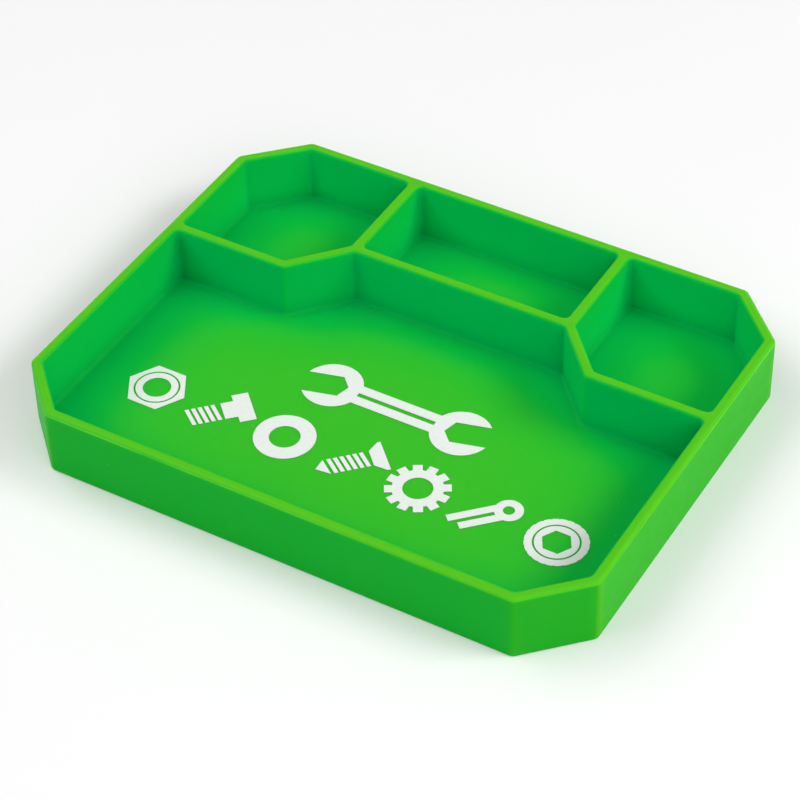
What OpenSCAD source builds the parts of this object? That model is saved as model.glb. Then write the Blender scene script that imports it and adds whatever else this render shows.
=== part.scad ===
// Parts sorting tray: a shallow soft tray with cut-back corners, three bins along its rear
// and one large compartment in front, with a row of printed fastener symbols on its floor.
// The origin is at the centre of the underside. +X runs along the long side, +Y runs
// towards the rear bins and +Z points up.
// The tray is one moulding. Its nodes are the straight runs of that moulding, which meet
// face to face.

/* [Tray] */
// Length of the tray along its long side
tray_l = 220; // [205:1:260]
// Width of the tray from front to rear
tray_w = 174; // [160:1:200]
// Height of the rim above the underside
tray_h = 26; // [18:0.2:32]
// How far each corner is cut back along both sides
corner_cut = 20.3; // [12:0.1:26]
// Thickness of the floor
floor_t = 3.3; // [2:0.1:5]

/* [Walls] */
// Thickness of the outer walls
wall_t = 4; // [3:0.1:5]
// Thickness of the dividers
divider_t = 4.1; // [3:0.1:5]
// Rounding along the top edges of the walls and dividers
rim_round = 1; // [0.4:0.1:1.4]

/* [Bins] */
// Position along Y of the side bins' front dividers, at the middle of their thickness
side_bin_y = 20.2; // [12:0.1:26]
// Position along Y of the middle bin's front divider, at the middle of its thickness
middle_bin_y = 40.2; // [34:0.1:48]
// Half the distance between the dividers at the two ends of the middle bin
middle_bin_x = 43.4; // [34:0.1:50]
// Half the distance between the inner ends of the side bins' front dividers
side_bin_x = 61.3; // [56:0.1:72]

/* [Print] */
// Thickness of the ink
ink_t = 0.15; // [0.05:0.05:0.4]
// Height of the symbols in the front row
symbol_size = 23; // [16:0.5:25]
// Distance between the middles of neighbouring symbols
symbol_pitch = 26.5; // [25.5:0.5:28]
// Position along Y of the row of symbols
symbol_row_y = -37; // [-50:1:-32]
// Turn of the bolt, screw and split pin symbols, in degrees
symbol_tilt = -45; // [-60:5:60]
// Length of the printed spanner
spanner_l = 74; // [50:1:80]
// Position along Y of the printed spanner
spanner_y = -6; // [-10:1:0]

/* [Hidden] */
$fn = 64;
silicone_green = [0.16, 0.72, 0.16];
ink_white = [0.92, 0.94, 0.92];
// Spare length past both ends of a rail, before its ends are cut
spare = 12;
// Overlap between two shapes of one symbol, so that they join
ink_overlap = 0.1;

// Points of the dividers' centre lines, on the right-hand side
bend = [side_bin_x, side_bin_y];
junction = [middle_bin_x, middle_bin_y];
side_wall_end = [tray_l / 2 - wall_t, side_bin_y];
rear_wall_end = [middle_bin_x, tray_w / 2 - wall_t];
// Heading of the slanting divider, from the bend to the junction
slant = atan2(middle_bin_y - side_bin_y, middle_bin_x - side_bin_x);

// ---------- Outline of the tray ----------

// The eight corners of the tray's outline, moved inwards by inset. They start at the front
// end of the front right corner and run anticlockwise.
function outline(inset) =
    let (
        x = tray_l / 2 - inset,
        y = tray_w / 2 - inset,
        cut = corner_cut - inset * (2 - sqrt(2))
    )
    [
        [x - cut, -y], [x, -y + cut],
        [x, y - cut], [x - cut, y],
        [-x + cut, y], [-x, y - cut],
        [-x, -y + cut], [-x + cut, -y]
    ];

// ---------- Rails: the straight runs of wall and divider ----------

// Upright section of a rail, with its two top edges rounded
module rail_section(thickness, base) {
    half = thickness / 2;
    translate([-half, base])
        square([thickness, tray_h - rim_round - base]);
    translate([-half + rim_round, base])
        square([thickness - 2 * rim_round, tray_h - base]);
    for (side = [-1, 1])
        translate([side * (half - rim_round), tray_h - rim_round])
            circle(r = rim_round);
}

// A rail along the line from a to b, cut to the shape of plan
module rail(a, b, thickness, base, plan) {
    run = b - a;
    intersection() {
        translate([a.x, a.y, 0])
            rotate([0, 0, atan2(run.y, run.x)])
                translate([-spare, 0, 0])
                    rotate([90, 0, 90])
                        linear_extrude(norm(run) + 2 * spare)
                            rail_section(thickness, base);
        linear_extrude(tray_h + 1)
            polygon(plan);
    }
}

// The run of outer wall from corner i of the outline to the next one
module outer_wall(i) {
    outside = outline(0);
    middle = outline(wall_t / 2);
    inside = outline(wall_t);
    next = (i + 1) % 8;
    rail(middle[i], middle[next], wall_t, 0,
         [outside[i], outside[next], inside[next], inside[i]]);
}

// The corner between two rails that leave point p at the headings first and second
function rail_corner(p, first, second) =
    let (middle = (first + second) / 2, reach = divider_t / 2 / sin((second - first) / 2))
    p + reach * [cos(middle), sin(middle)];

// Corners of the dividers' faces on the right-hand side: at the bend, then at the junction
bend_rear = rail_corner(bend, 0, slant);
bend_front = rail_corner(bend, slant, 360);
junction_right = rail_corner(junction, slant - 180, 90);
junction_rear = rail_corner(junction, 90, 180);
junction_front = rail_corner(junction, 180, slant + 180);

module divider(a, b, plan) rail(a, b, divider_t, floor_t, plan);

module bin_front_divider() {
    half = [0, divider_t / 2];
    divider(bend, side_wall_end,
            [bend_front, side_wall_end - half, side_wall_end + half, bend_rear]);
}

module bin_corner_divider() {
    divider(bend, junction,
            [bend_front, bend_rear, junction_right, junction, junction_front]);
}

module bin_side_divider() {
    half = [divider_t / 2, 0];
    divider(junction, rear_wall_end,
            [junction, junction_right, rear_wall_end + half, rear_wall_end - half, junction_rear]);
}

// ---------- Printed symbols, drawn flat and centred on the origin ----------

// A ring of ink of the given outer and inner diameters
module ring(outer_d, inner_d) {
    difference() {
        circle(d = outer_d);
        circle(d = inner_d);
    }
}

// Slanting strips across a shank, from the height top downwards
module thread(width, top, count) {
    pitch = symbol_size * 0.1;
    strip = pitch * 0.62;
    for (i = [0 : count - 1])
        translate([0, top - i * pitch])
            polygon([
                [-width / 2, -strip - pitch / 4], [width / 2, -strip + pitch / 4],
                [width / 2, pitch / 4], [-width / 2, -pitch / 4]
            ]);
}

module hex_nut_symbol() {
    difference() {
        circle(d = symbol_size, $fn = 6);
        ring(symbol_size * 0.72, symbol_size * 0.66);
        circle(d = symbol_size * 0.44);
    }
}

module bolt_symbol() {
    head_w = symbol_size * 0.62;
    head_h = symbol_size * 0.26;
    shank_w = symbol_size * 0.36;
    top = symbol_size * 0.5;
    plain_l = symbol_size * 0.2;
    rotate(symbol_tilt) {
        translate([-head_w / 2, top - head_h])
            square([head_w, head_h]);
        translate([-shank_w / 2, top - head_h - plain_l])
            square([shank_w, plain_l + ink_overlap]);
        thread(shank_w, top - head_h - plain_l - symbol_size * 0.07, 5);
    }
}

module washer_symbol() {
    ring(symbol_size * 0.96, symbol_size * 0.48);
}

module screw_symbol() {
    head_w = symbol_size * 0.62;
    shank_w = symbol_size * 0.32;
    top = symbol_size * 0.54;
    brim = top - symbol_size * 0.05;
    neck = top - symbol_size * 0.22;
    tip_top = -symbol_size * 0.34;
    rotate(symbol_tilt) {
        polygon([
            [-head_w / 2, top], [-head_w / 2, brim], [-shank_w / 2, neck],
            [shank_w / 2, neck], [head_w / 2, brim], [head_w / 2, top]
        ]);
        thread(shank_w, neck - symbol_size * 0.07, 6);
        polygon([
            [-shank_w / 2, tip_top - symbol_size * 0.05], [shank_w / 2, tip_top],
            [0, tip_top - symbol_size * 0.2]
        ]);
    }
}

module tooth_washer_symbol() {
    teeth = 12;
    tooth_w = symbol_size * 0.15;
    difference() {
        union() {
            circle(d = symbol_size * 0.78);
            for (i = [0 : teeth - 1])
                rotate(i * 360 / teeth)
                    translate([0, -tooth_w / 2])
                        square([symbol_size / 2, tooth_w]);
        }
        circle(d = symbol_size * 0.46);
    }
}

// A split pin: an eye with two legs of different lengths
module split_pin_symbol() {
    leg_w = symbol_size * 0.13;
    gap = symbol_size * 0.07;
    eye_d = symbol_size * 0.44;
    eye_y = symbol_size * 0.34;
    leg_top = eye_y - eye_d / 2 + leg_w / 2;
    rotate(symbol_tilt) {
        translate([0, eye_y])
            ring(eye_d, eye_d - 2 * leg_w);
        for (side = [-1, 1]) {
            leg_l = symbol_size * (0.7 - side * 0.06);
            translate([side * (leg_w + gap) / 2 - leg_w / 2, leg_top - leg_l])
                square([leg_w, leg_l]);
        }
    }
}

module socket_screw_head_symbol() {
    ridges = 24;
    difference() {
        circle(d = symbol_size * 0.96);
        circle(d = symbol_size * 0.48, $fn = 6);
        ring(symbol_size * 0.72, symbol_size * 0.66);
        for (i = [0 : ridges - 1])
            rotate((i + 0.5) * 360 / ridges)
                translate([symbol_size * 0.49, 0])
                    circle(d = symbol_size * 0.04);
    }
}

// A spanner with an open jaw at each end and a long groove in its handle
module spanner_symbol() {
    jaw_d = spanner_l * 0.3;
    half_gap = jaw_d * 0.23;
    hex_r = half_gap / cos(30);
    handle_w = jaw_d * 0.42;
    end_x = (spanner_l - jaw_d) / 2;
    difference() {
        union() {
            square([2 * end_x, handle_w], center = true);
            for (side = [-1, 1])
                translate([side * end_x, 0])
                    circle(d = jaw_d);
        }
        for (turn = [0, 180])
            rotate(turn)
                translate([end_x, 0])
                    rotate(15)
                        polygon([
                            [jaw_d, -half_gap], [jaw_d, half_gap], [-hex_r / 2, half_gap],
                            [-hex_r, 0], [-hex_r / 2, -half_gap]
                        ]);
        square([spanner_l * 0.42, handle_w * 0.2], center = true);
    }
}

// Lays a flat symbol on the floor as a layer of ink
module print_at(x, y) {
    color(ink_white)
        translate([x, y, floor_t])
            linear_extrude(ink_t)
                children();
}

// ---------- Sub-parts ----------

module tray_floor() {
    color(silicone_green)
        linear_extrude(floor_t)
            polygon(outline(wall_t));
}

module front_wall() { color(silicone_green) outer_wall(7); }
module right_wall() { color(silicone_green) outer_wall(1); }
module rear_wall() { color(silicone_green) outer_wall(3); }
module left_wall() { color(silicone_green) outer_wall(5); }
module front_right_corner_wall() { color(silicone_green) outer_wall(0); }
module rear_right_corner_wall() { color(silicone_green) outer_wall(2); }
module rear_left_corner_wall() { color(silicone_green) outer_wall(4); }
module front_left_corner_wall() { color(silicone_green) outer_wall(6); }

module right_bin_front_divider() { color(silicone_green) bin_front_divider(); }
module right_bin_corner_divider() { color(silicone_green) bin_corner_divider(); }
module right_bin_side_divider() { color(silicone_green) bin_side_divider(); }
module left_bin_front_divider() { color(silicone_green) mirror([1, 0, 0]) bin_front_divider(); }
module left_bin_corner_divider() { color(silicone_green) mirror([1, 0, 0]) bin_corner_divider(); }
module left_bin_side_divider() { color(silicone_green) mirror([1, 0, 0]) bin_side_divider(); }

module middle_bin_front_divider() {
    function flip(p) = [-p.x, p.y];
    color(silicone_green)
        divider(flip(junction), junction,
                [junction_front, junction, junction_rear,
                 flip(junction_rear), flip(junction), flip(junction_front)]);
}

module print_hex_nut() { print_at(-3 * symbol_pitch, symbol_row_y) hex_nut_symbol(); }
module print_bolt() { print_at(-2 * symbol_pitch, symbol_row_y) bolt_symbol(); }
module print_washer() { print_at(-symbol_pitch, symbol_row_y) washer_symbol(); }
module print_screw() { print_at(0, symbol_row_y) screw_symbol(); }
module print_tooth_washer() { print_at(symbol_pitch, symbol_row_y) tooth_washer_symbol(); }
module print_split_pin() { print_at(2 * symbol_pitch, symbol_row_y) split_pin_symbol(); }
module print_socket_screw_head() { print_at(3 * symbol_pitch, symbol_row_y) socket_screw_head_symbol(); }
module print_spanner() { print_at(0, spanner_y) spanner_symbol(); }

tray_floor();
front_wall();
right_wall();
rear_wall();
left_wall();
front_right_corner_wall();
rear_right_corner_wall();
rear_left_corner_wall();
front_left_corner_wall();
right_bin_front_divider();
right_bin_corner_divider();
right_bin_side_divider();
left_bin_front_divider();
left_bin_corner_divider();
left_bin_side_divider();
middle_bin_front_divider();
print_hex_nut();
print_bolt();
print_washer();
print_screw();
print_tooth_washer();
print_split_pin();
print_socket_screw_head();
print_spanner();
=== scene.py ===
import math

import bmesh
import bpy
import numpy as np
from mathutils import Matrix, Vector, noise
from mathutils.geometry import delaunay_2d_cdt


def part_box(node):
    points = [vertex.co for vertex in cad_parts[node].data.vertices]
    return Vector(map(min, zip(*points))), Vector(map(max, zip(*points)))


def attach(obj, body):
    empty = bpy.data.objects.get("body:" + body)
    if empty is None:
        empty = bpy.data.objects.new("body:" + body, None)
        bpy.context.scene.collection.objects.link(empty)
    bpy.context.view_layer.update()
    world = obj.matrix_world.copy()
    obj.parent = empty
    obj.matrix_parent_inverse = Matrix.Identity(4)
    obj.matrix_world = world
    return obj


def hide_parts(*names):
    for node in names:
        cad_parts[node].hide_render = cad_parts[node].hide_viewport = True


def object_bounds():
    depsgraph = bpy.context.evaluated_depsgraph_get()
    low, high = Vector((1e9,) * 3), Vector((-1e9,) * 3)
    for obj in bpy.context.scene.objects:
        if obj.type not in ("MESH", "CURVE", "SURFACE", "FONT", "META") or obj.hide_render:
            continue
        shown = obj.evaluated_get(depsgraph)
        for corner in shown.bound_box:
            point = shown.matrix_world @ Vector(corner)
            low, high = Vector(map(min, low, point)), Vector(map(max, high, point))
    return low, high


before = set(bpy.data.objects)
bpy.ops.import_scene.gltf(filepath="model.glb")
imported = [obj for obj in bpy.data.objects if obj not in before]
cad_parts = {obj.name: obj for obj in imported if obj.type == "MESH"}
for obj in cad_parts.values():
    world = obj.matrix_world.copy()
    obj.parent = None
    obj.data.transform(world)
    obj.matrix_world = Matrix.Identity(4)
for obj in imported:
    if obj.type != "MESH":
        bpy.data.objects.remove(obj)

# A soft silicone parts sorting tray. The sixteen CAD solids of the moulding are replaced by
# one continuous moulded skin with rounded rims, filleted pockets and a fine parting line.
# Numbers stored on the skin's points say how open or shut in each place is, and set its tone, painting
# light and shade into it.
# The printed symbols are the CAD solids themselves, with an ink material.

MM = 0.001
CAD_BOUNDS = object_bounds()

MOULDING_NODES = [
    "tray_floor",
    "front_wall", "right_wall", "rear_wall", "left_wall",
    "front_right_corner_wall", "rear_right_corner_wall",
    "rear_left_corner_wall", "front_left_corner_wall",
    "right_bin_front_divider", "right_bin_corner_divider", "right_bin_side_divider",
    "left_bin_front_divider", "left_bin_corner_divider", "left_bin_side_divider",
    "middle_bin_front_divider",
]
PRINT_NODES = [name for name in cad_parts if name.startswith("print_")]

# Finish of the moulding, which the CAD leaves plain
RIM_ROUND = 1.0 * MM            # the top edges round the pockets, as in the CAD
OUTER_RIM_ROUND = 1.4 * MM      # the top edge round the outside
POCKET_CORNER = 2.2 * MM        # upright corners inside the pockets
POCKET_FILLET = 1.6 * MM        # where a pocket's walls meet the floor
REFLEX_CORNER = 2.4 * MM        # upright corners that stick out into a pocket
OUTER_CORNER = 3.2 * MM         # upright corners of the outside
BASE_ROUND = 0.7 * MM           # the outside's bottom edge
FLASH_OUT = 0.08 * MM           # how far the parting line stands out and the groove above it goes in
FLASH_STEP = 4                  # the rounding step of the top edge that carries the line
FLASH_REACH = 110 * MM          # the parting line's painted highlight and groove shade come up to full strength over this distance
FLASH_START = 0.5               # which starts this share of it from the front right corner
WAVE = 0.10 * MM                # how far the soft walls wander
WAVE_LENGTH = 45 * MM           # over about this distance
WAVE_SEED = 1                   # the noise takes the clock's time if it is given no seed

# Steps of the skin
SMOOTH_MARGIN = 0.25 * MM       # flat strip that keeps shading level beside a rounding
ARC_STEPS = 6                   # steps round an upright corner
ROUND_STEPS = 6                 # steps across a rounding or a fillet
BASE_STEPS = 3                  # steps across the bottom edge's rounding
POCKET_WALL_STEPS = 5           # steps down the straight part of a pocket's wall
OUTER_WALL_STEPS = 6            # and of the outside
RUN_STEP = 3.0 * MM             # step along straight runs
FLOOR_STEP = 3.0 * MM           # step across the floors
UNDER_STEP = 12.0 * MM          # step across the underside
GRID_MARGIN = 0.03              # share of its size by which a floor's inner points stay off its edge
GRID_SHIFT = 0.25               # share of a step by which every second row of them is shifted
NEARLY_ZERO = 1e-9              # metres, or square metres for a product of two lengths

# How the light from around reaches each point, which is painted as light and shade into the silicone's
# tone
SKY_HEADINGS = 24               # directions of the light round a point
SKY_HEIGHTS = 8                 # and above it
SKY_LIFT = 0.4 * MM             # lifts a point clear of its own wall
FAR = 10.0                      # further than any wall
CLOSE = 4.0 * MM                # how far off a surface still adds painted shade to a crevice
RIM_OPENNESS = 1.03             # painted light: the rim's flat top, a little over the most open floor
FRONT_OPENNESS = 0.70           # painted shade: openness of the upright outer faces at the front and rear
END_OPENNESS = 0.97             # and at the two ends, painted lighter as they face the side softboxes
RIM_SPREAD = 2.5                # how far the rim's painted light reaches down its outer rounding
BEND_GLOW = 0.12                # extra openness, painted light, on upright corners that stick out, and less, painted shade, in the pockets' inner corners
BEND_START = 0.4                # share of it where the corner's rounding starts
GROOVE_SHADE = 0.12             # painted shade: how much less open the groove above the parting line is
END_WALL_LIGHT = 0.12           # painted light: extra openness of the pocket walls that face an end of the tray
FILLET_SHADE = 0.5              # painted shade: keeps the fillets as shut in as the wall and floor beside them
BIN_LIGHT = 0.05                # painted light: extra openness in the rear bins, for the light that their thin walls let in
BIN_FLOOR_GLOW = 0.035          # how much less painted crevice shade their floors get
BIN_WALL_GLOW = 0.11            # and their walls


# ---------- Dimensions, all read from the frame ----------

def middle(node, axis):
    """Middle of a CAD node's box along one axis."""
    low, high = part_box(node)
    return (low[axis] + high[axis]) / 2


LOW, HIGH = CAD_BOUNDS
HALF_L = (HIGH[0] - LOW[0]) / 2
HALF_W = (HIGH[1] - LOW[1]) / 2
HEIGHT = HIGH[2]
FLOOR_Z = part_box("tray_floor")[1].z
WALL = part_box("front_wall")[1].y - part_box("front_wall")[0].y
CUT = HALF_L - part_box("front_wall")[1].x
DIVIDER_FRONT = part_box("middle_bin_front_divider")[0].y
HALF_DIVIDER = (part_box("middle_bin_front_divider")[1].y - DIVIDER_FRONT) / 2
BEND = Vector((
    (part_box("right_bin_front_divider")[0].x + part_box("right_bin_corner_divider")[1].x) / 2,
    middle("right_bin_front_divider", 1),
))
JUNCTION = Vector((middle("right_bin_side_divider", 0), middle("middle_bin_front_divider", 1)))
SLANT = math.atan2(JUNCTION.y - BEND.y, JUNCTION.x - BEND.x)


def outline(inset):
    """The tray's eight corners, moved inwards by inset, anticlockwise from the front right."""
    x = HALF_L - inset
    y = HALF_W - inset
    cut = CUT - inset * (2 - math.sqrt(2))
    right = [(x - cut, -y), (x, -y + cut), (x, y - cut), (x - cut, y)]
    return [Vector(p) for p in right] + [Vector((-px, py)) for px, py in reversed(right)]


def divider_corner(point, first, second):
    """Where the faces of two dividers meet, between their headings first and second."""
    heading = (first + second) / 2
    reach = HALF_DIVIDER / math.sin((second - first) / 2)
    return point + reach * Vector((math.cos(heading), math.sin(heading)))


def mirrored(points):
    """The same outline on the other side of the tray, still anticlockwise."""
    return [Vector((-p.x, p.y)) for p in reversed(points)]


def pocket_outlines():
    """The wall faces of the four pockets in plan, anticlockwise."""
    inner = outline(WALL)
    divider_front = BEND.y - HALF_DIVIDER
    divider_rear = BEND.y + HALF_DIVIDER
    bend_front = divider_corner(BEND, SLANT, 2 * math.pi)
    bend_rear = divider_corner(BEND, 0, SLANT)
    junction_front = divider_corner(JUNCTION, math.pi, SLANT + math.pi)
    junction_right = divider_corner(JUNCTION, SLANT - math.pi, math.pi / 2)
    side_x = JUNCTION.x + HALF_DIVIDER
    wall_x = HALF_L - WALL
    wall_y = HALF_W - WALL

    front_right = [inner[0], inner[1], Vector((wall_x, divider_front)), bend_front, junction_front]
    front = front_right + mirrored(front_right)
    right = [
        bend_rear, Vector((wall_x, divider_rear)), inner[2], inner[3],
        Vector((side_x, wall_y)), junction_right,
    ]
    end_x = JUNCTION.x - HALF_DIVIDER
    front_y = JUNCTION.y + HALF_DIVIDER
    centre = [
        Vector((-end_x, front_y)), Vector((end_x, front_y)),
        Vector((end_x, wall_y)), Vector((-end_x, wall_y)),
    ]
    return [front, right, mirrored(right), centre]


# ---------- Rings: rounded outlines at a given inset ----------

class Ring:
    """An anticlockwise outline with rounded corners. Every inset gives the same number of points."""

    def __init__(self, outline_points, convex_radius, reflex_radius):
        self.corners = []
        count = len(outline_points)
        for i, point in enumerate(outline_points):
            before = (point - outline_points[i - 1]).normalized()
            after = (outline_points[(i + 1) % count] - point).normalized()
            first = Vector((-before.y, before.x))
            second = Vector((-after.y, after.x))
            side = 1 if before.cross(after) > 0 else -1
            radius = convex_radius if side > 0 else reflex_radius
            centre = point + side * radius * (first + second) / (1 + first.dot(second))
            start = math.atan2(first.y, first.x)
            turn = math.atan2(first.cross(second), first.dot(second))
            self.corners.append((centre, radius, side, start, turn))
        base = [self.arc(corner, 0) for corner in self.corners]
        self.splits = [
            max(1, round((base[(i + 1) % count][0] - base[i][-1]).length / RUN_STEP))
            for i in range(count)
        ]

    @staticmethod
    def arc(corner, inset):
        """Points round one corner, with the outline moved inwards by inset."""
        centre, radius, side, start, turn = corner
        points = []
        for k in range(ARC_STEPS + 1):
            angle = start + turn * k / ARC_STEPS
            normal = Vector((math.cos(angle), math.sin(angle)))
            points.append(centre - side * (radius - side * inset) * normal)
        return points

    def bends(self):
        """How near each point is to a corner's tip, where it is 1, or -1 at a reflex corner.

        It is less round the rest of the corner's arc, and 0 on straight runs.
        """
        result = []
        for corner, splits in zip(self.corners, self.splits):
            side = corner[2]
            for k in range(ARC_STEPS + 1):
                tip = math.sin(math.pi * k / ARC_STEPS)
                result.append(side * (BEND_START + (1 - BEND_START) * tip))
            result += [0.0] * (splits - 1)
        return result

    def points(self, inset):
        """The whole outline, moved inwards by inset."""
        arcs = [self.arc(corner, inset) for corner in self.corners]
        result = []
        for i, arc in enumerate(arcs):
            result.extend(arc)
            following = arcs[(i + 1) % len(arcs)][0]
            for k in range(1, self.splits[i]):
                result.append(arc[-1].lerp(following, k / self.splits[i]))
        return result


def quarter(start_inset, start_z, inset_radius, z_radius, first_angle):
    """Steps (inset, z) of a quarter circle. The circle's centre is (start_inset, start_z)."""
    steps = []
    for k in range(ROUND_STEPS + 1):
        angle = first_angle - math.pi / 2 * k / ROUND_STEPS
        inset = start_inset + inset_radius * math.cos(angle)
        steps.append((inset, start_z + z_radius * math.sin(angle)))
    return steps


def straight(top, base, count):
    """Steps (inset, z) down an upright face."""
    return [(0, top + (base - top) * k / count) for k in range(count + 1)]


def pocket_profile():
    """(inset, z) steps down a pocket's wall, from the rim's flat top to the floor."""
    rim = quarter(-RIM_ROUND, HEIGHT - RIM_ROUND, RIM_ROUND, RIM_ROUND, math.pi / 2)
    fillet = quarter(POCKET_FILLET, FLOOR_Z + POCKET_FILLET, POCKET_FILLET, POCKET_FILLET, math.pi)
    fillet = [(inset, 2 * (FLOOR_Z + POCKET_FILLET) - z) for inset, z in fillet]
    wall_top = rim[-1][1] - SMOOTH_MARGIN
    wall_base = fillet[0][1] + SMOOTH_MARGIN
    wall = straight(wall_top, wall_base, POCKET_WALL_STEPS)
    top = [(-RIM_ROUND - SMOOTH_MARGIN, HEIGHT)]
    floor = [(POCKET_FILLET + SMOOTH_MARGIN, FLOOR_Z)]
    return top + rim + wall + fillet + floor


def outside_profile():
    """(inset, z) steps down the outside, from the rim's flat top to the underside."""
    top_z = HEIGHT - OUTER_RIM_ROUND
    rim = quarter(OUTER_RIM_ROUND, top_z, -OUTER_RIM_ROUND, OUTER_RIM_ROUND, math.pi / 2)
    groove_inset, groove_z = rim[FLASH_STEP - 1]
    line_inset, line_z = rim[FLASH_STEP]
    rim[FLASH_STEP - 1] = (groove_inset + FLASH_OUT, groove_z - FLASH_OUT)
    rim[FLASH_STEP] = (line_inset - FLASH_OUT, line_z)
    wall_top = top_z - SMOOTH_MARGIN
    wall_base = BASE_ROUND + SMOOTH_MARGIN
    wall = straight(wall_top, wall_base, OUTER_WALL_STEPS)
    base = [
        (BASE_ROUND - BASE_ROUND * math.cos(a), BASE_ROUND - BASE_ROUND * math.sin(a))
        for a in (math.pi / 2 * k / BASE_STEPS for k in range(BASE_STEPS + 1))
    ]
    top = [(OUTER_RIM_ROUND + SMOOTH_MARGIN, HEIGHT)]
    under = [(BASE_ROUND + SMOOTH_MARGIN, 0)]
    return top + rim + wall + base + under


# ---------- The skin ----------

noise.seed_set(WAVE_SEED)


def wander(x, y, z):
    """Small sideways drift of the soft walls, which grows from nothing at the floor to the rim."""
    grip = max(0.0, (z - FLOOR_Z) / (HEIGHT - FLOOR_Z))
    place = Vector((x, y, 0)) / WAVE_LENGTH
    drift = noise.noise_vector(place)
    return x + WAVE * grip * drift.x, y + WAVE * grip * drift.y, z


def sweep(mesh, ring, profile, flip):
    """Skins a profile along a ring and returns its first and last rows of vertices."""
    rows = []
    for inset, z in profile:
        rows.append([mesh.verts.new(wander(p.x, p.y, z)) for p in ring.points(inset)])
    for upper, lower in zip(rows, rows[1:]):
        for i in range(len(upper)):
            j = (i + 1) % len(upper)
            face = [upper[i], upper[j], lower[j], lower[i]]
            mesh.faces.new(face if flip else face[::-1])
    return rows[0], rows[-1]


def inside(point, loops):
    """Whether a point lies inside an odd number of closed loops."""
    odd = False
    for loop in loops:
        for a, b in zip(loop, loop[1:] + loop[:1]):
            if (a.y > point.y) != (b.y > point.y):
                if point.x < a.x + (b.x - a.x) * (point.y - a.y) / (b.y - a.y):
                    odd = not odd
    return odd


def fill_flat(mesh, rows, z, upward, step=None):
    """Fills the level region inside the first closed row of vertices and outside the others.

    With a step, evenly spread points inside keep its triangles small.
    """
    loops = [[Vector(v.co.xy) for v in row] for row in rows]
    corners = [v for row in rows for v in row]
    points = [p for loop in loops for p in loop]
    borders = []
    start = 0
    for loop in loops:
        borders.append(list(range(start, start + len(loop))))
        start += len(loop)
    if step:
        low_x, high_x = min(p.x for p in points), max(p.x for p in points)
        low_y, high_y = min(p.y for p in points), max(p.y for p in points)
        centre = Vector(((low_x + high_x) / 2, (low_y + high_y) / 2))
        shrunk = [[p + (centre - p) * GRID_MARGIN for p in loop] for loop in loops]
        for i in range(1, int((high_x - low_x) / step) + 1):
            for j in range(1, int((high_y - low_y) / step) + 1):
                place = Vector((low_x + (i - GRID_SHIFT * (j % 2)) * step, low_y + j * step))
                if inside(place, shrunk):
                    points.append(place)
                    corners.append(mesh.verts.new((place.x, place.y, z)))
    _, _, triangles, origins, _, covers = delaunay_2d_cdt(points, [], borders, 0, NEARLY_ZERO)
    for triangle, cover in zip(triangles, covers):
        if cover != [0]:
            continue
        face = mesh.faces.new([corners[origins[i][0]] for i in triangle])
        face.normal_update()
        if (face.normal.z > 0) != upward:
            face.normal_flip()


def wall_distance(points, outline_points, heading):
    """Distance in plan from each point to the nearest wall of a pocket, along one heading."""
    corners = np.array([p[:] for p in outline_points])
    walls = np.roll(corners, -1, axis=0) - corners
    ray = np.array([math.cos(heading), math.sin(heading)])
    gaps = corners - points[:, None, :2]
    across = ray[0] * walls[:, 1] - ray[1] * walls[:, 0]
    across = np.where(np.abs(across) < NEARLY_ZERO, NEARLY_ZERO, across)
    along = (gaps[:, :, 0] * walls[:, 1] - gaps[:, :, 1] * walls[:, 0]) / across
    share = (gaps[:, :, 0] * ray[1] - gaps[:, :, 1] * ray[0]) / across
    hit = (along > 0) & (share >= 0) & (share <= 1)
    return np.where(hit, along, FAR).min(axis=1)


def surroundings(points, normals, outline_points):
    """What each point of a pocket faces, in two shares.

    The first is how much of the light from above the tray's two ends reaches it, which is 1 on an
    open level face. The second is how much of its view close surfaces fill.
    """
    points = points + SKY_LIFT * normals
    above_floor = np.maximum(points[:, 2] - FLOOR_Z, 0)
    below_rim = np.maximum(HEIGHT - RIM_ROUND - points[:, 2], 0)
    step = math.pi / 2 / SKY_HEIGHTS
    sky = np.zeros(len(points))
    close = np.zeros(len(points))
    view = np.zeros(len(points))
    full = 0
    for i in range(SKY_HEADINGS):
        heading = (i + 0.5) * 2 * math.pi / SKY_HEADINGS
        reach = wall_distance(points, outline_points, heading)
        wall_top = np.arctan2(below_rim, reach)
        for j in range(-SKY_HEIGHTS, SKY_HEIGHTS):
            height = (j + 0.5) * step
            x = math.cos(heading) * math.cos(height)
            y = math.sin(heading) * math.cos(height)
            z = math.sin(height)
            facing = math.cos(height) * np.maximum(normals @ (x, y, z), 0)
            open_share = np.clip((height - wall_top) / step + 0.5, 0, 1)
            distance = reach / math.cos(height)
            if z < 0:
                distance = np.minimum(distance, -above_floor / z)
            close += facing * (1 - open_share) * np.exp(-distance / CLOSE)
            view += facing
            if z > 0:
                light = abs(x) * z
                sky += light * facing * open_share
                full += light * z * math.cos(height)
    return sky / full, close / view


def parting_line_paint(points):
    """How strongly a highlight is painted on the parting line, and shade in the groove above it, at
    each point: 0 at the front right corner, 1 far from it.
    """
    distance = np.hypot(points[:, 0] - HALF_L, points[:, 1] + HALF_W)
    return np.clip(distance / FLASH_REACH - FLASH_START, 0, 1)


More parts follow.
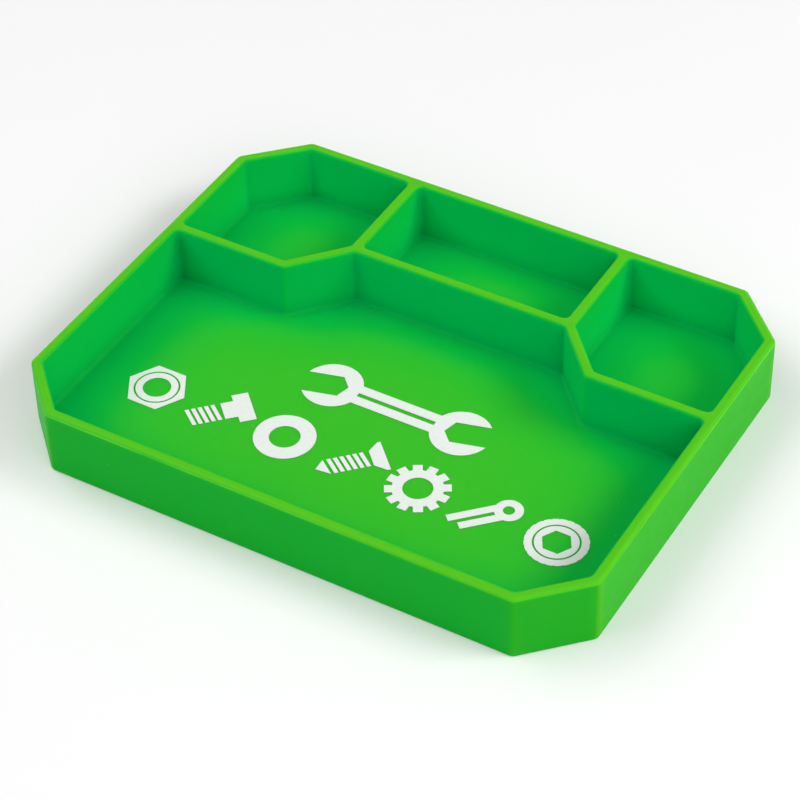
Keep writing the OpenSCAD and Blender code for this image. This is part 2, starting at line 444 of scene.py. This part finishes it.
def mark_tones(data, pockets, bends, outer_rows):
    """Stores on each point what sets the silicone's tone, with light and shade painted into it.

    openness is how much light from around reaches it and paints light and shade into the tone, crevice
    is how tight its corner is and paints shade there, outside is 1 on the outer faces and paints shade
    on them, and the last mark is 1 on the parting line and paints a highlight along it.
    """
    points = np.array([v.co[:] for v in data.vertices])
    normals = np.array([v.normal[:] for v in data.vertices])
    # Outside the pockets: painted light on the rim, on faces that look up and on the ends, painted
    # shade on the upright outer faces
    level = np.clip(RIM_SPREAD * normals[:, 2], 0, 1)
    upright = FRONT_OPENNESS + (END_OPENNESS - FRONT_OPENNESS) * normals[:, 0] ** 2
    open_sky = upright + (RIM_OPENNESS - upright) * level
    outside = 1 - level
    crevice = np.zeros(len(points))
    # In the pockets, how much light from around reaches each point, and how tight its crevice is, are
    # painted into the tone as light and shade.
    for number, (indices, outline_points) in enumerate(pockets):
        sky, close = surroundings(points[indices], normals[indices], outline_points)
        up = normals[indices, 2]
        fillet = points[indices, 2] < FLOOR_Z + POCKET_FILLET
        # painted light on walls that face an end, painted shade in the fillets
        sky += END_WALL_LIGHT * normals[indices, 0] ** 2 - FILLET_SHADE * fillet * up * (1 - up)
        # painted light in the rear bins, and less painted crevice shade there
        if number > 0:
            sky += BIN_LIGHT
            close -= BIN_WALL_GLOW + (BIN_FLOOR_GLOW - BIN_WALL_GLOW) * up
        open_sky[indices] = sky
        crevice[indices] = close
        outside[indices] = 0
    # painted light on upright corners that stick out, painted shade in the pockets' inner corners
    open_sky += BEND_GLOW * bends * (1 - np.abs(normals[:, 2]))

    # painted highlight along the parting line and painted shade in the groove above it
    line = parting_line_paint(points)
    groove_row = outer_rows[FLASH_STEP]
    line_row = outer_rows[FLASH_STEP + 1]
    open_sky[groove_row] -= GROOVE_SHADE * line[groove_row]
    flash_highlight = np.zeros(len(points))
    flash_highlight[line_row] = line[line_row]

    open_sky = np.clip(open_sky, 0, RIM_OPENNESS)
    marks = {"openness": open_sky, "crevice": crevice, "outside": outside, "flash_highlight": flash_highlight}
    for name, values in marks.items():
        data.attributes.new(name, "FLOAT", "POINT").data.foreach_set("value", values)


def build_moulding():
    """The whole silicone moulding as one closed skin.

    bends has one value for each vertex, in the order that they are made: above 0 where a corner
    sticks out. The outside's come first, and outer_rows says which of them are in each row.
    """
    mesh = bmesh.new()
    outer_ring = Ring(outline(0), OUTER_CORNER, OUTER_CORNER)
    outer_top, outer_base = sweep(mesh, outer_ring, outside_profile(), flip=False)
    bends = outer_ring.bends() * len(outside_profile())
    outer_rows = np.arange(len(bends)).reshape(len(outside_profile()), -1)
    fill_flat(mesh, [outer_base], 0, upward=False, step=UNDER_STEP)
    rim_rows = [outer_top]
    pockets = []
    for points in pocket_outlines():
        bends += [0.0] * (len(mesh.verts) - len(bends))
        ring = Ring(points, POCKET_CORNER, REFLEX_CORNER)
        top, floor = sweep(mesh, ring, pocket_profile(), flip=True)
        first = len(bends)
        bends += [-bend for bend in ring.bends()] * len(pocket_profile())
        fill_flat(mesh, [floor], FLOOR_Z, upward=True, step=FLOOR_STEP)
        rim_rows.append(top)
        pockets.append((np.arange(first, len(mesh.verts)), points))
    bends += [0.0] * (len(mesh.verts) - len(bends))
    fill_flat(mesh, rim_rows, HEIGHT, upward=True)
    bmesh.ops.recalc_face_normals(mesh, faces=mesh.faces)
    for face in mesh.faces:
        face.smooth = True
    data = bpy.data.meshes.new("silicone_moulding")
    mesh.to_mesh(data)
    mesh.free()
    mark_tones(data, pockets, np.array(bends), outer_rows)
    moulding = bpy.data.objects.new("silicone_moulding", data)
    bpy.context.scene.collection.objects.link(moulding)
    return moulding


# ---------- Materials ----------

class Nodes:
    """Short calls for building a material's nodes."""

    def __init__(self, name):
        self.material = bpy.data.materials.new(name)
        self.material.use_nodes = True
        self.tree = self.material.node_tree
        self.shader = self.tree.nodes["Principled BSDF"]
        self.place = self.add("ShaderNodeTexCoord").outputs["Object"]

    def add(self, kind, **settings):
        node = self.tree.nodes.new(kind)
        for key, value in settings.items():
            setattr(node, key, value)
        return node

    def link(self, source, target):
        self.tree.links.new(source, target)

    def noise(self, size, detail=2.0):
        """Noise whose features are about size metres across."""
        node = self.add("ShaderNodeTexNoise")
        node.inputs["Scale"].default_value = 1 / size
        node.inputs["Detail"].default_value = detail
        self.link(self.place, node.inputs["Vector"])
        return node.outputs["Fac"]

    def remap(self, value, from_low, from_high, to_low, to_high):
        node = self.add("ShaderNodeMapRange")
        for socket, number in zip(node.inputs[1:5], (from_low, from_high, to_low, to_high)):
            socket.default_value = number
        self.link(value, node.inputs[0])
        return node.outputs[0]

    def attribute(self, name):
        """A number stored on the mesh's points."""
        return self.add("ShaderNodeAttribute", attribute_name=name).outputs["Fac"]

    def math(self, operation, first, second):
        """One sum on two values."""
        node = self.add("ShaderNodeMath", operation=operation)
        self.link(first, node.inputs[0])
        self.link(second, node.inputs[1])
        return node.outputs[0]

    def speckle(self, spacing):
        """Distance to the nearest of many scattered points, as a share of their spacing."""
        node = self.add("ShaderNodeTexVoronoi")
        node.inputs["Scale"].default_value = 1 / spacing
        self.link(self.place, node.inputs["Vector"])
        return node.outputs["Distance"]

    def mix(self, factor, first, second, blend="MIX"):
        """Mixes two colours, each a tuple or a socket."""
        node = self.add("ShaderNodeMix", data_type="RGBA", blend_type=blend, clamp_factor=False)
        self.link(factor, node.inputs[0])
        for socket, colour in ((node.inputs[6], first), (node.inputs[7], second)):
            if isinstance(colour, tuple):
                socket.default_value = (*colour, 1)
            else:
                self.link(colour, socket)
        return node.outputs[2]

    def ramp(self, value, stops):
        """A colour for each value, from (position, colour) stops."""
        node = self.add("ShaderNodeValToRGB")
        elements = node.color_ramp.elements
        while len(elements) < len(stops):
            elements.new(0.5)
        for element, (position, colour) in zip(elements, stops):
            element.position = position
            element.color = (*colour, 1)
        self.link(value, node.inputs["Fac"])
        return node.outputs["Color"]

    def bump(self, height, distance, strength, under=None):
        node = self.add("ShaderNodeBump")
        node.inputs["Distance"].default_value = distance
        node.inputs["Strength"].default_value = strength
        self.link(height, node.inputs["Height"])
        if under:
            self.link(under, node.inputs["Normal"])
        return node.outputs["Normal"]


# Base colours are linear. Those of the silicone were set by comparing renders with the photo.
SILICONE_LIT_AND_SHADED_TONES = [                   # at each openness, from painted shade in blue-green to painted light in yellow-green
    (0.12, (0.000, 0.46, 0.118)),    # tight corners
    (0.28, (0.000, 0.57, 0.138)),    # the foot of the walls
    (0.70, (0.003, 0.507, 0.055)),   # the edge of the open floor
    (0.88, (0.029, 0.515, 0.026)),   # the open floor
    (0.98, (0.046, 0.52, 0.020)),    # the outside's end faces
    (1.00, (0.094, 0.53, 0.012)),    # the rims
]
CREVICE_SHADE = (0.20, 0.20, 0.20)   # painted shade: what a full crevice would multiply the tone by
OUTSIDE_SHADE = (0.50, 0.83, 0.38)   # painted shade: what the outer faces multiply it by
FLASH_HIGHLIGHT_TONE = (0.17, 0.66, 0.06)      # painted highlight: the parting line catches the light
DUST_TONE = (0.40, 0.68, 0.38)
DUST_SPACING = 10 * MM
DUST_SIZE = 0.3 * MM
DUST_COVER = 0.5                     # how much of the tone the middle of a speck hides

NOISE_RANGE = (0.3, 0.7)             # most of a noise's values lie between these
TONE_PATCH = 14 * MM                 # size of the slight unevenness in tone
TONE_SHIFT = 0.012                   # and how far it shifts the openness
FLASH_PATCH = 30 * MM                # size of the patches in which the parting line's painted highlight comes and goes
FLASH_NOISE = (0.40, 0.60)           # noise over which it does
FLASH_STRENGTH = (0.1, 0.9)          # and its strength there
SCATTER = 3.0 * MM                   # how far light scatters inside the silicone
SILICONE_IOR = 1.41
SATIN_PATCH = 4 * MM                 # size of the slight unevenness in roughness
SATIN = (0.42, 0.52)
GLOSS_OPENNESS = (0.4, 0.8)          # shut-in places reflect less of the light from around:
GLOSS = (0.02, 0.11)                 # the specular level goes up from one value to the other
GRAIN_SIZE = 0.35 * MM
GRAIN_DEPTH = 0.02 * MM
RIPPLE_SIZE = 6 * MM
RIPPLE_DEPTH = 0.03 * MM


def silicone_material():
    """Bright green silicone: satin, slightly uneven in tone, with fine grain, a little dust, and light
    and shade painted into its tone.
    """
    m = Nodes("green_silicone")
    shader = m.shader.inputs
    uneven = m.remap(m.noise(TONE_PATCH, detail=3), *NOISE_RANGE, -TONE_SHIFT, TONE_SHIFT)
    # painted shade in shut-in places and painted light on open ones, from the stored openness
    tone = m.ramp(m.math("ADD", m.attribute("openness"), uneven), SILICONE_LIT_AND_SHADED_TONES)
    # painted shade in crevices
    tone = m.mix(m.attribute("crevice"), tone, CREVICE_SHADE, "MULTIPLY")
    # painted shade on the outer faces
    tone = m.mix(m.attribute("outside"), tone, OUTSIDE_SHADE, "MULTIPLY")
    # painted highlight along the parting line, in patches
    patchy = m.remap(m.noise(FLASH_PATCH, detail=3), *FLASH_NOISE, *FLASH_STRENGTH)
    tone = m.mix(m.math("MULTIPLY", m.attribute("flash_highlight"), patchy), tone, FLASH_HIGHLIGHT_TONE)
    dust = m.remap(m.speckle(DUST_SPACING), 0, DUST_SIZE / DUST_SPACING, DUST_COVER, 0)
    m.link(m.mix(dust, tone, DUST_TONE), shader["Base Color"])
    shader["Subsurface Weight"].default_value = 1.0
    shader["Subsurface Radius"].default_value = (1.0, 1.0, 1.0)
    shader["Subsurface Scale"].default_value = SCATTER
    m.link(m.remap(m.noise(SATIN_PATCH, detail=4), *NOISE_RANGE, *SATIN), shader["Roughness"])
    shader["IOR"].default_value = SILICONE_IOR
    m.link(m.remap(m.attribute("openness"), *GLOSS_OPENNESS, *GLOSS), shader["Specular IOR Level"])
    grain = m.bump(m.noise(GRAIN_SIZE), GRAIN_DEPTH, strength=0.5)
    ripple = m.bump(m.noise(RIPPLE_SIZE), RIPPLE_DEPTH, strength=0.4, under=grain)
    m.link(ripple, shader["Normal"])
    return m.material


INK_TONES = ((0.80, 0.84, 0.80), (0.86, 0.88, 0.86))
INK_PATCH = 1.2 * MM                 # size of the slight unevenness in the ink's tone
INK_NOISE = (0.35, 0.7)              # noise over which it goes from one tone to the other
INK_MATT_PATCH = 2 * MM              # size of the slight unevenness in its roughness
INK_MATT = (0.45, 0.6)
INK_GRAIN_SIZE = 0.4 * MM
INK_GRAIN_DEPTH = 0.01 * MM


def ink_material():
    """White screen-printing ink: matt, with a faint grain."""
    m = Nodes("white_ink")
    shader = m.shader.inputs
    tone = m.remap(m.noise(INK_PATCH, detail=4), *INK_NOISE, 0, 1)
    m.link(m.mix(tone, *INK_TONES), shader["Base Color"])
    m.link(m.remap(m.noise(INK_MATT_PATCH, detail=3), *NOISE_RANGE, *INK_MATT), shader["Roughness"])
    grain = m.bump(m.noise(INK_GRAIN_SIZE, detail=3), INK_GRAIN_DEPTH, strength=0.4)
    m.link(grain, shader["Normal"])
    return m.material


STUDIO_TONES = ((0.94, 0.94, 0.94), (0.95, 0.95, 0.95))
STUDIO_PATCH = 0.2                   # metres, size of the slight unevenness in the studio floor's tone
STUDIO_ROUGHNESS = 0.9
STUDIO_SPECULAR = 0.1


def floor_material():
    """Pale, even studio floor."""
    m = Nodes("studio_floor")
    shader = m.shader.inputs
    tone = m.remap(m.noise(STUDIO_PATCH), *NOISE_RANGE, 0, 1)
    m.link(m.mix(tone, *STUDIO_TONES), shader["Base Color"])
    shader["Roughness"].default_value = STUDIO_ROUGHNESS
    shader["Specular IOR Level"].default_value = STUDIO_SPECULAR
    return m.material


# ---------- Studio ----------

CAMERA_EYE = (0.3744, -0.6283, 0.6620)
CAMERA_HEADING = (-0.3817, 0.6373, -0.6694)
CAMERA_ROLL = -1.29                  # degrees
CAMERA_LENS = 126.45                 # mm, on a sensor of
CAMERA_SENSOR = 36
WIDE_SOFTBOX = (2.4, 1.3)            # metres
SMALL_SOFTBOX = (0.9, 0.6)
SOFTBOX_REACH = 2.0                  # from the tray's middle to each softbox
WORLD_STRENGTH = 0.28
FLOOR_HALF = 3.0                     # half the studio floor's side


def aimed(eye, target, roll):
    """Matrix of a camera or light at eye that looks at target, turned by roll round its axis."""
    turn = (target - eye).to_track_quat("-Z", "Y").to_matrix().to_4x4()
    return Matrix.Translation(eye) @ turn @ Matrix.Rotation(roll, 4, "Z")


def add_camera():
    """The photo's viewpoint."""
    data = bpy.data.cameras.new("camera")
    data.sensor_width = CAMERA_SENSOR
    data.lens = CAMERA_LENS
    camera = bpy.data.objects.new("camera", data)
    bpy.context.scene.collection.objects.link(camera)
    eye = Vector(CAMERA_EYE)
    forward = Vector(CAMERA_HEADING).normalized()
    camera.matrix_world = aimed(eye, eye + forward, math.radians(CAMERA_ROLL))
    bpy.context.scene.camera = camera


def add_softbox(name, size, heading, height, power):
    """A softbox that faces the tray, with its heading from +X and its height in degrees."""
    data = bpy.data.lights.new(name, "AREA")
    data.shape = "RECTANGLE"
    data.size, data.size_y = size
    data.energy = power
    light = bpy.data.objects.new(name, data)
    bpy.context.scene.collection.objects.link(light)
    raised = Matrix.Rotation(math.radians(-height), 3, "Y") @ Vector((SOFTBOX_REACH, 0, 0))
    eye = Matrix.Rotation(math.radians(heading), 3, "Z") @ raised
    light.matrix_world = aimed(eye, Vector(), 0)


def add_studio():
    """Pale floor, even light from all round, and three softboxes."""
    floor_data = bpy.data.meshes.new("studio_floor")
    half = FLOOR_HALF
    corners = [(-half, -half, 0), (half, -half, 0), (half, half, 0), (-half, half, 0)]
    floor_data.from_pydata(corners, [], [(0, 1, 2, 3)])
    floor = bpy.data.objects.new("studio_floor", floor_data)
    bpy.context.scene.collection.objects.link(floor)
    floor_data.materials.append(floor_material())

    world = bpy.data.worlds.new("studio")
    world.use_nodes = True
    background = world.node_tree.nodes["Background"].inputs
    background["Color"].default_value = (1, 1, 1, 1)
    background["Strength"].default_value = WORLD_STRENGTH
    bpy.context.scene.world = world
    add_softbox("front_softbox", WIDE_SOFTBOX, heading=-35, height=35, power=16.4)
    add_softbox("right_softbox", SMALL_SOFTBOX, heading=20, height=40, power=16.4)
    add_softbox("left_softbox", WIDE_SOFTBOX, heading=200, height=52, power=21.2)
    bpy.context.scene.view_settings.view_transform = "Standard"


# ---------- Assembly ----------

add_camera()
add_studio()

moulding = build_moulding()
moulding.data.materials.append(silicone_material())
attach(moulding, "root")
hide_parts(*MOULDING_NODES)

ink = ink_material()
for name in PRINT_NODES:
    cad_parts[name].data.materials.clear()
    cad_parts[name].data.materials.append(ink)
